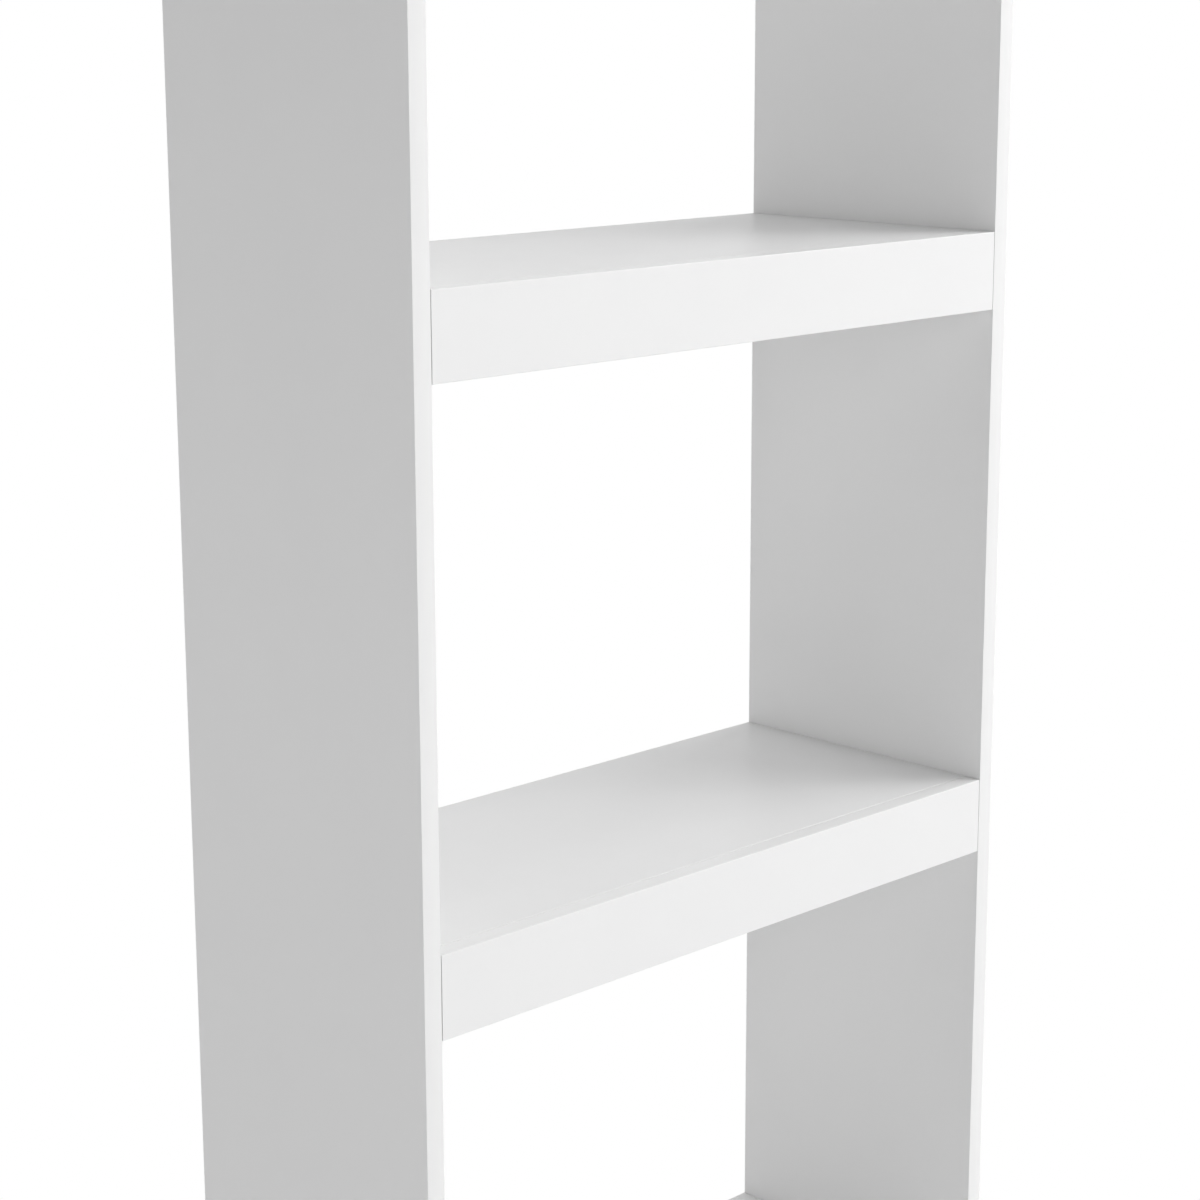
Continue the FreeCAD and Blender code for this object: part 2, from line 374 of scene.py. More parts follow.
def facedSheet(tree):
    # melamine facing: a fine pearl under a satin sheen that wanders a little
    where = tree.place()
    drift = tree.noise(where, facing["driftSize"], detail=3)
    pearl = tree.noise(where, facing["pearlSize"], detail=3)
    wander = tree.noise(where, facing["sheenSize"])
    colour = tree.shade(drift, facing["driftRange"], facing["white"], facing["drift"])
    sheenDrift = facing["sheenDrift"]
    roughness = facing["roughness"] + wander.swing(sheenDrift) + pearl.swing(sheenDrift)
    # the facing's colour carries the painted corner shade
    return sockets(withPaintedShade(tree, where, colour), roughness, tree.bump(pearl, facing["pearlDepth"]))


banding = {
    "white": (0.825, 0.825, 0.824),
    "drift": (0.818, 0.818, 0.817),
    "driftSize": 44 * mm,
    "driftRange": (0.35, 0.75),
    "rippleSize": 2.2 * mm,
    "rippleDepth": 0.006 * mm,
    "roughness": 0.36,
    "sheenDrift": 0.08,
}


def edgeStrip(tree):
    # edge band: smoother than the facing, with the slow ripple that its scraper leaves
    where = tree.place()
    ripple = tree.noise(where, banding["rippleSize"])
    drift = tree.noise(where, banding["driftSize"])
    colour = tree.shade(drift, banding["driftRange"], banding["white"], banding["drift"])
    roughness = banding["roughness"] + ripple.swing(banding["sheenDrift"])
    # the band's colour carries the painted corner shade
    return sockets(withPaintedShade(tree, where, colour), roughness, tree.bump(ripple, banding["rippleDepth"]))


core = {
    "flakeSize": 2.4 * mm,
    "flatness": 1.6,          # how much wider a flake is than high
    "finesSize": 0.5 * mm,
    "browns": ((0.0, (0.27, 0.16, 0.08)), (0.35, (0.55, 0.38, 0.22)), (0.9, (0.72, 0.55, 0.36))),
    "flakeTone": 0.8,         # how much of the tone the flakes and the fines between them make
    "finesTone": 0.3,
    "finesHeight": 0.5,       # the height of the fines against the flakes'
    "depth": 0.25 * mm,
    "roughness": 0.86,
    "footHeight": 5 * mm,
    "downward": -0.5,         # a face looks down when the Z of its normal is less
}


def sawnCore(tree):
    # chipboard where it was sawn or drilled: flakes of several browns, with pits between them
    where = tree.place().stretched(1, 1, core["flatness"])
    shift = tree.noise(where, core["flakeSize"])["Color"]
    most = (core["flakeSize"],) * 3
    bent = tree.node("ShaderNodeVectorMath", {0: shift, 1: most, 2: where}, operation="MULTIPLY_ADD")
    flakes = tree.node("ShaderNodeTexVoronoi", {"Vector": bent, "Scale": 1 / core["flakeSize"]})
    tone = tree.node("ShaderNodeSeparateColor", {"Color": flakes["Color"]})
    fines = tree.noise(where, core["finesSize"])
    blend = tone * core["flakeTone"] + fines * core["finesTone"]
    colour = tree.node("ShaderNodeValToRGB", {"Fac": blend}, stops=core["browns"])
    pits = (1 - flakes["Distance"]) + fines * core["finesHeight"]
    return sockets(colour, core["roughness"], tree.bump(pits, core["depth"]))


casting = {
    "bright": (0.66, 0.67, 0.68),
    "dull": (0.47, 0.48, 0.49),
    "grainSize": 0.35 * mm,
    "cloudSize": 3 * mm,
    "cloudRange": (0.3, 0.7),
    "depth": 0.015 * mm,
    "roughness": 0.36,
    "cloudSheen": 0.2,
    "grainSheen": 0.1,
}


def castZinc(tree):
    # die-cast zinc: cloudy grey with a fine skin
    where = tree.place()
    cloud = tree.noise(where, casting["cloudSize"], detail=4)
    grain = tree.noise(where, casting["grainSize"])
    colour = tree.shade(cloud, casting["cloudRange"], casting["bright"], casting["dull"])
    sheen = cloud.swing(casting["cloudSheen"])
    roughness = casting["roughness"] + sheen + grain.swing(casting["grainSheen"])
    return sockets(colour, roughness, tree.bump(grain, casting["depth"]), metallic=1.0)


plating = {
    "bright": (0.74, 0.75, 0.76),
    "bloom": (0.66, 0.68, 0.72),
    "bloomSize": 7 * mm,
    "bloomRange": (0.35, 0.7),
    "rubSize": 0.12 * mm,
    "rubLength": 12,          # how much longer a rub mark is than wide
    "depth": 0.004 * mm,
    "roughness": 0.24,
    "bloomSheen": 0.12,
    "rubSheen": 0.16,
}


def platedSteel(tree):
    # zinc-plated steel: bright, with a bluish bloom and fine rub marks along X
    where = tree.place()
    bloom = tree.noise(where, plating["bloomSize"], detail=3)
    rub = tree.noise(where.stretched(1 / plating["rubLength"], 1, 1), plating["rubSize"])
    colour = tree.shade(bloom, plating["bloomRange"], plating["bright"], plating["bloom"])
    roughness = plating["roughness"] + bloom.swing(plating["bloomSheen"]) + rub.swing(plating["rubSheen"])
    return sockets(colour, roughness, tree.bump(rub, plating["depth"]), metallic=1.0)


timber = {
    "pale": (0.71, 0.52, 0.34),
    "deep": (0.57, 0.38, 0.23),
    "fleck": (0.36, 0.21, 0.12),
    "streakSize": 0.8 * mm,
    "streakRange": (0.3, 0.7),
    "fleckSize": 0.7 * mm,
    "fleckEdge": (0.12, 0.24),    # how far from its middle a fleck starts to fade and is gone
    "fleckShare": 0.75,
    "along": 9,                   # how much longer a streak is than wide
    "depth": 0.02 * mm,
    "roughness": 0.6,
    "streakSheen": 0.15,
}


def beechAlong(axis):
    # beech with its streaks and short dark flecks along one axis
    squeeze = [1 / timber["along"] if i == axis else 1 for i in range(3)]

    def paint(tree):
        where = tree.place().stretched(*squeeze)
        streak = tree.noise(where, timber["streakSize"], detail=3)
        cells = tree.node("ShaderNodeTexVoronoi", {"Vector": where, "Scale": 1 / timber["fleckSize"]})
        flecks = 1 - cells["Distance"].ramp(*timber["fleckEdge"])
        wood = tree.shade(streak, timber["streakRange"], timber["pale"], timber["deep"])
        colour = tree.mix(flecks * timber["fleckShare"], wood, opaque(timber["fleck"]))
        roughness = timber["roughness"] + streak.swing(timber["streakSheen"])
        return sockets(colour, roughness, tree.bump(streak - flecks, timber["depth"]))

    return paint


moulding = {
    "white": (0.8, 0.8, 0.79),
    "scuffed": (0.66, 0.65, 0.63),
    "grainSize": 0.25 * mm,
    "scuffSize": 1.6 * mm,
    "scuffRange": (0.4, 0.6),
    "scuffTop": 1 * mm,           # scuffs thin out from the floor up to this height
    "depth": 0.012 * mm,
    "roughness": 0.42,
    "grainSheen": 0.12,
    "scuffSheen": 0.25,
}


def mouldedPlastic(tree):
    # hard white plastic with a sparked grain, scuffed where it slides on the floor
    where = tree.place()
    grain = tree.noise(where, moulding["grainSize"])
    low = 1 - where.parts()["Z"].ramp(0, moulding["scuffTop"])
    scuff = tree.noise(where, moulding["scuffSize"], detail=4).ramp(*moulding["scuffRange"]) * low
    colour = tree.mix(scuff, opaque(moulding["white"]), opaque(moulding["scuffed"]))
    roughness = moulding["roughness"] + grain.swing(moulding["grainSheen"]) + scuff * moulding["scuffSheen"]
    return sockets(colour, roughness, tree.bump(grain, moulding["depth"]))


def sawnFoot(tree):
    # the side panels' lower ends, just over the floor, were sawn and left bare
    height = tree.place().parts()["Z"]
    upward = tree.node("ShaderNodeNewGeometry")["Normal"].parts()["Z"]
    return height.below(core["footHeight"]) * upward.below(core["downward"])


whiteFacing = newMaterial("white_facing", facedSheet)
panelFacing = newMaterial("panel_facing", facedSheet, sawnCore, sawnFoot)
whiteBanding = newMaterial("white_banding", edgeStrip)
chipCore = newMaterial("chip_core", sawnCore)
zincCasting = newMaterial("cast_zinc", castZinc)
zincPlating = newMaterial("zinc_plating", platedSteel)
beechX = newMaterial("beech_along_x", beechAlong(0))
beechY = newMaterial("beech_along_y", beechAlong(1))
glidePlastic = newMaterial("moulded_plastic", mouldedPlastic)
print("finishes ready:", len(bpy.data.materials))


# Geometry Nodes groups

def newGroup(name, inputs, build):
    # inputs gives each size's kind, and build(tree, given) the finished geometry
    group = bpy.data.node_groups.new(name, "GeometryNodeTree")
    group.interface.new_socket("Geometry", in_out="OUTPUT", socket_type="NodeSocketGeometry")
    group.interface.new_socket("Geometry", in_out="INPUT", socket_type="NodeSocketGeometry")
    for label, kind in inputs.items():
        group.interface.new_socket(label, in_out="INPUT", socket_type="NodeSocket" + kind)
    tree = Tree(group)
    given = tree.node("NodeGroupInput")
    tree.node("NodeGroupOutput", {"Geometry": build(tree, given)})
    return group


weldDistance = 0.001 * mm


def named(tree, attribute, kind="FLOAT"):
    return tree.node("GeometryNodeInputNamedAttribute", {"Name": attribute}, data_type=kind)


def rotation(tree, angles):
    return tree.node("FunctionNodeEulerToRotation", {"Euler": angles})


def finished(tree, shape, material):
    whole = tree.node("GeometryNodeRealizeInstances", {"Geometry": shape})
    return tree.node("GeometryNodeSetMaterial", {"Geometry": whole, "Material": material})


def sweepStrips(tree, given):
    # each edge runs along the middle of a glued face, and its "outward" points off the board
    line = tree.node("GeometryNodeMeshToCurve", {"Mesh": given})
    outward = named(tree, "outward", "FLOAT_VECTOR")
    faced = tree.node("GeometryNodeSetCurveNormal", {"Curve": line, "Normal": outward}, mode="FREE")
    thickness = given["Thickness"]
    sizes = {"Width": thickness, "Height": given["Width"]}
    rectangle = tree.node("GeometryNodeCurvePrimitiveQuadrilateral", sizes)
    lift = tree.node("ShaderNodeCombineXYZ", {"X": thickness * 0.5})
    raised = tree.node("GeometryNodeTransform", {"Geometry": rectangle, "Translation": lift})
    across = tree.node("GeometryNodeInputPosition").parts()["X"]
    arris = given["Arris Radius"] * across.above(thickness * 0.5)      # only at the outer corners
    corners = {"Curve": raised, "Radius": arris, "Count": given["Arris Steps"]}
    section = tree.node("GeometryNodeFilletCurve", corners, mode="POLY")
    sweep = {"Curve": faced, "Profile Curve": section, "Fill Caps": True}
    swept = tree.node("GeometryNodeCurveToMesh", sweep)
    clean = tree.node("GeometryNodeMergeByDistance", {"Geometry": swept, "Distance": weldDistance})
    return finished(tree, clean, given["Material"])


def setOut(tree, given):
    # a copy of the pattern at each point, turned by the point's "turn" and then by chance about its axis
    pattern = tree.node("GeometryNodeObjectInfo", {"Object": given["Pattern"]})["Geometry"]
    copies = tree.node("GeometryNodeInstanceOnPoints", {
        "Points": given,
        "Instance": pattern,
        "Rotation": rotation(tree, named(tree, "turn", "FLOAT_VECTOR")),
    })
    chance = tree.node("FunctionNodeRandomValue", {"Max": given["Most Spin"], "Seed": given["Seed"]})
    spin = tree.node("ShaderNodeCombineXYZ", {"Z": chance})
    spun = tree.node("GeometryNodeRotateInstances", {
        "Instances": copies,
        "Rotation": rotation(tree, spin),
        "Local Space": True,
    })
    return finished(tree, spun, given["Material"])


def drillHoles(tree, given):
    # cuts a round hole of the point's "radius" and "depth" along the Z axis that its "turn" gives, and
    # paints its wall
    unit = {"Vertices": given["Hole Sides"], "Radius": 1.0, "Depth": 1.0}
    bit = tree.node("GeometryNodeMeshCylinder", unit)
    standing = tree.node("GeometryNodeTransform", {"Geometry": bit, "Translation": (0, 0, 0.5)})
    radius = named(tree, "radius")
    size = tree.node("ShaderNodeCombineXYZ", {"X": radius, "Y": radius, "Z": named(tree, "depth")})
    bits = tree.node("GeometryNodeInstanceOnPoints", {
        "Points": given,
        "Instance": standing,
        "Rotation": rotation(tree, named(tree, "turn", "FLOAT_VECTOR")),
        "Scale": size,
    })
    loose = tree.node("GeometryNodeRealizeInstances", {"Geometry": bits})
    mark = {"Geometry": loose, "Name": "drilled", "Value": True}
    walls = tree.node("GeometryNodeStoreNamedAttribute", mark, data_type="BOOLEAN", domain="FACE")
    body = tree.node("GeometryNodeObjectInfo", {"Object": given["Body"]})["Geometry"]
    meshes = {"Mesh 1": body, "Mesh 2": walls}
    cut = tree.node("GeometryNodeMeshBoolean", meshes, operation="DIFFERENCE", solver="EXACT")
    painted = finished(tree, cut, given["Material"])
    return tree.node("GeometryNodeSetMaterial", {
        "Geometry": painted,
        "Selection": named(tree, "drilled", "BOOLEAN"),
        "Material": given["Hole Material"],
    })


stripGroup = newGroup("swept_strips", {
    "Width": "Float",
    "Thickness": "Float",
    "Arris Radius": "Float",
    "Arris Steps": "Int",
    "Material": "Material",
}, sweepStrips)
setOutGroup = newGroup("set_out", {
    "Pattern": "Object",
    "Most Spin": "Float",
    "Seed": "Int",
    "Material": "Material",
}, setOut)
drillGroup = newGroup("drilled_body", {
    "Body": "Object",
    "Hole Sides": "Int",
    "Material": "Material",
    "Hole Material": "Material",
}, drillHoles)


def marks(name, rows, edges=()):
    # a mesh of points that carry sizes; each row is a place and its attributes
    mesh = bpy.data.meshes.new(name)
    mesh.from_pydata([place for place, sizes in rows], edges, [])
    for attribute, first in rows[0][1].items():
        isVector = hasattr(first, "__len__")
        layer = mesh.attributes.new(attribute, "FLOAT_VECTOR" if isVector else "FLOAT", "POINT")
        for item, (place, sizes) in zip(layer.data, rows):
            setattr(item, "vector" if isVector else "value", sizes[attribute])
    return mesh


def evaluatedMesh(holder):
    # what an object's modifiers make of it, as a plain mesh
    if holder.name not in scene.collection.objects:
        scene.collection.objects.link(holder)
    mesh = bpy.data.meshes.new_from_object(holder.evaluated_get(bpy.context.evaluated_depsgraph_get()))
    holder.modifiers.clear()
    bpy.data.objects.remove(holder)
    while mesh.materials and not mesh.materials[0]:
        mesh.materials.pop(index=0)
    return mesh


crispAngle = 20


def crisp(mesh, angle=crispAngle):
    # smooth shading, but sharp across edges that turn by more than the angle, in degrees
    mesh.shade_smooth()
    mesh.set_sharp_from_angle(angle=math.radians(angle))
    return mesh


def grow(name, group, source, sizes, sharpAngle=crispAngle):
    # runs a group on its source and puts the plain result in the scene
    holder = bpy.data.objects.new(name + "_source", source)
    modifier = holder.modifiers.new("grow", "NODES")
    modifier.node_group = group
    for item in group.interface.items_tree:
        if item.in_out == "INPUT" and item.name in sizes:
            modifier[item.identifier] = sizes[item.name]
    mesh = crisp(evaluatedMesh(holder), sharpAngle)
    mesh.name = name
    return shownObject(name, mesh)


def keep(piece, slot, *nodes):
    # the piece stands for these nodes of the frame
    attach(piece, "root")
    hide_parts(*nodes)


# Shapes drawn in millimetres

def meshObject(name, points, faces):
    mesh = bpy.data.meshes.new(name)
    mesh.from_pydata(points, [], faces)
    mesh.transform(Matrix.Scale(mm, 4))
    return bpy.data.objects.new(name, mesh)


def turned(name, profile, steps=64, ripple=None):
    # turned about +Z from a profile of (height, radius); ripple gives another radius
    points = []
    for height, radius in profile:
        for i in range(steps):
            angle = 2 * math.pi * i / steps
            reach = ripple(angle, height, radius) if ripple else radius
            points.append((reach * math.cos(angle), reach * math.sin(angle), height))
    faces = [tuple(reversed(range(steps)))]
    for row in range(len(profile) - 1):
        for i in range(steps):
            j = (i + 1) % steps
            faces.append((row * steps + i, row * steps + j, (row + 1) * steps + j, (row + 1) * steps + i))
    faces.append(tuple(range((len(profile) - 1) * steps, len(profile) * steps)))
    return meshObject(name, points, faces)


def eased(low, high, radius, bevel):
    # the profile of a drum with bevelled ends
    return [(low, radius - bevel), (low + bevel, radius), (high - bevel, radius), (high, radius - bevel)]


def prism(name, outline, low, high, draft=0.0):
    # drawn in by the draft's share at its top
    count = len(outline)
    taper = 1 - draft
    points = [(x, y, low) for x, y in outline] + [(x * taper, y * taper, high) for x, y in outline]
    faces = [tuple(reversed(range(count))), tuple(range(count, 2 * count))]
    faces += [(i, (i + 1) % count, (i + 1) % count + count, i + count) for i in range(count)]
    return meshObject(name, points, faces)


def arcPoints(radius, start, end, steps, centre=(0, 0)):
    # angles in degrees
    turn = [math.radians(start + (end - start) * i / steps) for i in range(steps + 1)]
    return [(centre[0] + radius * math.cos(t), centre[1] + radius * math.sin(t)) for t in turn]


def turnedBy(cosine, sine, points):
    return [(x * cosine - y * sine, x * sine + y * cosine) for x, y in points]


def crossOutline(length, width):
    long, short = length / 2, width / 2
    outline = []
    for cosine, sine in ((1, 0), (0, 1), (-1, 0), (0, -1)):
        outline += turnedBy(cosine, sine, [(long, -short), (long, short), (short, short)])
    return outline


def cutAway(body, cutters):
    for cutter in cutters:
        scene.collection.objects.link(cutter)
        modifier = body.modifiers.new("cut", "BOOLEAN")
        modifier.operation = "DIFFERENCE"
        modifier.solver = "EXACT"
        modifier.object = cutter
    name = body.name
    mesh = crisp(evaluatedMesh(body))
    for cutter in cutters:
        bpy.data.objects.remove(cutter)
    return bpy.data.objects.new(name, mesh)


def centreOf(node):
    low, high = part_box(node)
    return (low + high) / 2


# Edge bands

strips = {
    "thickness": 0.8 * mm,
    "panelArris": 0.2 * mm,
    "railArris": 0.6 * mm,     # the rails are handled most, and are scraped rounder
    "shelfArris": 0.2 * mm,
    "arrisSteps": 6,
    "sharpAngle": 10,          # degrees: the flat faces stay flat right up to their arrises
}


def addStrips(name, node, runs, width, arris):
    # runs lists each strip's two ends, on the middle of its glued face, and which way it faces
    rows = [(place, {"outward": outward}) for *ends, outward in runs for place in ends]
    source = marks(name, rows, [(2 * i, 2 * i + 1) for i in range(len(runs))])
    piece = grow(name, stripGroup, source, {
        "Width": width,
        "Thickness": strips["thickness"],
        "Arris Radius": arris,
        "Arris Steps": strips["arrisSteps"],
        "Material": whiteBanding,
    }, strips["sharpAngle"])
    keep(piece, "white_edge_band", node)


def addAllStrips():
    thick = strips["thickness"]
    for side in sides:
        node = side + "_side_panel_edge_bands"
        low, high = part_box(node)
        x = (low.x + high.x) / 2
        front, rear, top = low.y + thick, high.y - thick, high.z - thick
        addStrips(side + "_panel_banding", node, [
            ((x, front, low.z), (x, front, high.z), (0, -1, 0)),
            ((x, rear, low.z), (x, rear, high.z), (0, 1, 0)),
            ((x, front, top), (x, rear, top), (0, 0, 1)),
        ], high.x - low.x, strips["panelArris"])
    for level in levels:
        node = level + "_front_rail_edge_bands"
        low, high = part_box(node)
        y = (low.y + high.y) / 2
        addStrips(level + "_rail_banding", node, [
            ((low.x, y, high.z - thick), (high.x, y, high.z - thick), (0, 0, 1)),
            ((low.x, y, low.z + thick), (high.x, y, low.z + thick), (0, 0, -1)),
        ], high.y - low.y, strips["railArris"])
        node = level + "_shelf_rear_edge_band"
        low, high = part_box(node)
        z = (low.z + high.z) / 2
        addStrips(level + "_shelf_banding", node, [
            ((low.x, high.y - thick, z), (high.x, high.y - thick, z), (0, 1, 0)),
        ], high.z - low.z, strips["shelfArris"])


addAllStrips()
print("edge bands glued on")


# Turns that bring a pattern's +Z axis round to a direction of the frame
towards = {
    "+x": (0, math.radians(90), 0),
    "-x": (0, math.radians(-90), 0),
    "+y": (math.radians(-90), 0, 0),
    "-y": (math.radians(90), 0, 0),
    "+z": (0, 0, 0),
}


drillBack = 0.5 * mm


def holeRow(mouth, direction, radius, depth):
    # a hole's mark, set back so that the bit starts clear of the surface
    inward = Euler(towards[direction]).to_matrix() @ Vector((0, 0, 1))
    start = Vector(mouth) - inward * drillBack
    return tuple(start), {"turn": towards[direction], "radius": radius, "depth": depth + drillBack}


def addCopies(name, slot, node, pattern, places, material, mostSpin=0.0, seed=1):
    # places lists each copy's origin and turn, and mostSpin is the most by which chance turns it
    source = marks(name, [(place, {"turn": turn}) for place, turn in places])
    piece = grow(name, setOutGroup, source, {
        "Pattern": pattern,
        "Most Spin": mostSpin,
        "Seed": seed,
        "Material": material,
    })
    keep(piece, slot, node)


# Cam locks: an eccentric track draws the bolt's head in

lockSizes = {
    "radius": 7.4,
    "height": 12.0,
    "sides": 72,
    "bevel": 0.35,
    "bossRadius": 4.0,         # the middle of the face, round the cross
    "grooveEnd": 6.35,
    "grooveDepth": 0.4,
    "grooveSlope": 0.1,        # how far the groove's walls lean in
    "boltHeight": 7.5,         # from the face to the bolt's axis
    "trackRadius": 5.0,
    "trackOffset": 0.7,
    "trackSides": 48,
    "roof": 0.9,
    "neckHalf": 2.2,
    "hookEnd": 37,             # degrees from the bolt
    "entry": 238,
    "entrySpread": 58,
    "arcSteps": 24,
    "crossLength": 6.0,
    "crossWidth": 1.1,
    "crossDepth": 2.4,
    "crossDraft": 0.16,
    "arrowGap": 0.35,          # from the boss
    "arrowLength": 1.7,
    "arrowWidth": 1.9,
    "arrowDepth": 0.35,
    "overcut": 0.2,            # how far over the face its cutters start
}


def camLock(s):
    profile = [
        (0, s["bossRadius"]),
        (s["grooveDepth"], s["bossRadius"] + s["grooveSlope"]),
        (s["grooveDepth"], s["grooveEnd"] - s["grooveSlope"]),
        (0, s["grooveEnd"]),
    ] + eased(0, s["height"], s["radius"], s["bevel"])
    body = turned("cam_lock", profile, s["sides"])
    lean = math.radians(s["hookEnd"] + 180)
    middle = (s["trackOffset"] * math.cos(lean), s["trackOffset"] * math.sin(lean))
    hollowHalf = s["height"] - s["roof"] - s["boltHeight"]
    clear = s["radius"] + 1

    def sector(name, start, end, half):
        outline = [(0, 0)] + arcPoints(clear, start, end, s["arcSteps"])
        return prism(name, outline, s["boltHeight"] - half, s["boltHeight"] + half)

    steps = s["trackSides"] - 1
    track = arcPoints(s["trackRadius"], 0, 360 - 360 / s["trackSides"], steps, middle)
    cross = crossOutline(s["crossLength"], s["crossWidth"])
    point = s["bossRadius"] + s["arrowGap"]
    arrow = [(point, s["arrowWidth"] / 2), (point, -s["arrowWidth"] / 2), (point + s["arrowLength"], 0)]
    lean = math.radians(s["entry"])
    arrow = turnedBy(math.cos(lean), math.sin(lean), arrow)
    return cutAway(body, [
        prism("track", track, s["boltHeight"] - hollowHalf, s["boltHeight"] + hollowHalf),
        sector("neck_slot", s["entry"], s["hookEnd"] + 360, s["neckHalf"]),
        sector("entry", s["entry"] - s["entrySpread"] / 2, s["entry"] + s["entrySpread"] / 2, hollowHalf),
        prism("cross", cross, -s["overcut"], s["crossDepth"], s["crossDraft"]),
        prism("arrow", arrow, -s["overcut"], s["grooveDepth"] + s["arrowDepth"]),
    ])


def addCamLocks():
    pattern = camLock(lockSizes)
    for level in levels:
        node = level + "_cam_locks"
        low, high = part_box(node)
        reach = high.x - lockSizes["radius"] * mm
        y = (low.y + high.y) / 2
        places = [((side * reach, y, low.z), (0, 0, 0 if side > 0 else math.pi)) for side in sides.values()]
        addCopies(level + "_cam_lock_pair", "zinc_casting", node, pattern, places, zincCasting)


addCamLocks()
print("cam locks set in")


# Cam bolts

boltSizes = {
    "sides": 36,
    "threadRadius": 2.5,
    "rootRadius": 1.75,
    "threadLength": 11.0,
    "pitch": 2.2,
    "tipLength": 1.6,
    "runOut": 0.4,             # of plain shank between the thread and the collar
    "collarRadius": 3.3,
    "collarLength": 3.0,
    "neckRadius": 2.0,
    "headRadius": 3.3,
    "headLength": 2.4,
    "headTaper": 1.3,
    "headShort": 0.15,         # how far the head ends short of the cam lock's axis
    "bevel": 0.25,
    "driveLength": 3.6,
    "driveWidth": 0.8,
    "driveDepth": 1.6,
}


def threadRipple(root, pitch, start, end):
    # makes a screw thread of the shank between start and end, fading out over a turn at both
    def ripple(angle, height, radius):
        if not start <= height <= end:
            return radius
        turn = (height / pitch - angle / (2 * math.pi)) % 1
        ridge = 1 - abs(2 * turn - 1)
        fade = min(1, (height - start) / pitch, (end - height) / pitch)
        return root + (radius - root) * ridge * fade

    return ripple


def shankRows(start, end, radius, pitch, rowsPerTurn=10):
    rows = round((end - start) / pitch * rowsPerTurn)
    return [(start + (end - start) * i / rows, radius) for i in range(rows + 1)]


def withDrive(body, s, low, high):
    # the body with the cross recess of its drive cut between these heights
    return cutAway(body, [prism("drive", crossOutline(s["driveLength"], s["driveWidth"]), low, high)])


def camBolt(s, headEnd):
    # the panel's inner face is at height 0, the thread below it and the head's end at headEnd
    tip = -s["threadLength"]
    threadStart = tip + s["tipLength"]
    neckEnd = headEnd - s["headLength"] - s["headTaper"]
    profile = [(tip, s["rootRadius"] / 2)]
    profile += shankRows(threadStart, -s["runOut"], s["threadRadius"], s["pitch"])
    profile.append((0, s["rootRadius"]))
    profile += eased(0, s["collarLength"], s["collarRadius"], s["bevel"])
    profile += [
        (s["collarLength"], s["neckRadius"]),
        (neckEnd, s["neckRadius"]),
        (neckEnd + s["headTaper"], s["headRadius"]),
        (headEnd - s["bevel"], s["headRadius"]),
        (headEnd, s["headRadius"] - s["bevel"]),
    ]
    ripple = threadRipple(s["rootRadius"], s["pitch"], threadStart, -s["runOut"])
    body = turned("cam_bolt", profile, s["sides"], ripple)
    return withDrive(body, s, headEnd - s["driveDepth"], headEnd + 1)


def addCamBolts():
    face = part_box(levels[0] + "_shelf")[1].x
    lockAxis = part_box(levels[0] + "_cam_locks")[1].x - lockSizes["radius"] * mm
    pattern = camBolt(boltSizes, (face - lockAxis) / mm - boltSizes["headShort"])
    for level in levels:
        node = level + "_cam_bolts"
        middle = centreOf(node)
        places = [
            ((face, middle.y, middle.z), towards["-x"]),
            ((-face, middle.y, middle.z), towards["+x"]),
        ]
        addCopies(level + "_cam_bolt_pair", "plated_steel", node, pattern, places, zincPlating)


addCamBolts()
print("cam bolts screwed in")


# Dowels

dowelSizes = {
    "radius": 3.95,
    "inShelf": 20.0,
    "inFace": 10.0,
    "chamfer": 1.0,
    "flutes": 20,
    "fluteDepth": 0.28,
    "fluteSharpness": 3,
    "sidesPerFlute": 6,
}


def flutedDowel(s):
    # height 0 is where the pin crosses from the shelf into the other board
    def ripple(angle, height, radius):
        return radius - s["fluteDepth"] * max(0, math.cos(s["flutes"] * angle)) ** s["fluteSharpness"]

    profile = eased(-s["inShelf"], s["inFace"], s["radius"], s["chamfer"])
    return turned("dowel", profile, s["sidesPerFlute"] * s["flutes"], ripple)


def addDowels():
    pattern = flutedDowel(dowelSizes)
    inFace = dowelSizes["inFace"] * mm
    radius = dowelSizes["radius"] * mm
    for level in levels:
        node = level + "_shelf_end_dowels"
        low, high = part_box(node)
        middle = (low + high) / 2
        places = [
            ((high.x - inFace, middle.y, middle.z), towards["+x"]),
            ((low.x + inFace, middle.y, middle.z), towards["-x"]),
        ]
        addCopies(level + "_end_dowel_pair", "beech", node, pattern, places, beechX, math.pi, seed=3)
        node = level + "_front_rail_dowels"
        low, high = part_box(node)
        across = (low.x + radius, 0, high.x - radius)
        places = [((x, low.y + inFace, middle.z), towards["-y"]) for x in across]
        addCopies(level + "_rail_dowel_set", "beech", node, pattern, places, beechY, math.pi, seed=5)


addDowels()
print("dowels glued in")


# Floor glides

glideSizes = {
    "height": 4.0,
    "radius": 7.0,
    "roundRadius": 1.6,
    "roundSteps": 8,
    "middleRadius": 1.0,       # of the first ring on the flat face
    "rimStep": 0.35,
    "stemRadius": 3.0,
    "stemCore": 2.4,
    "stemLength": 12.0,
    "barbs": 4,
    "barbRise": 0.3,
    "tipLength": 1.0,
    "tipTaper": 0.8,
}


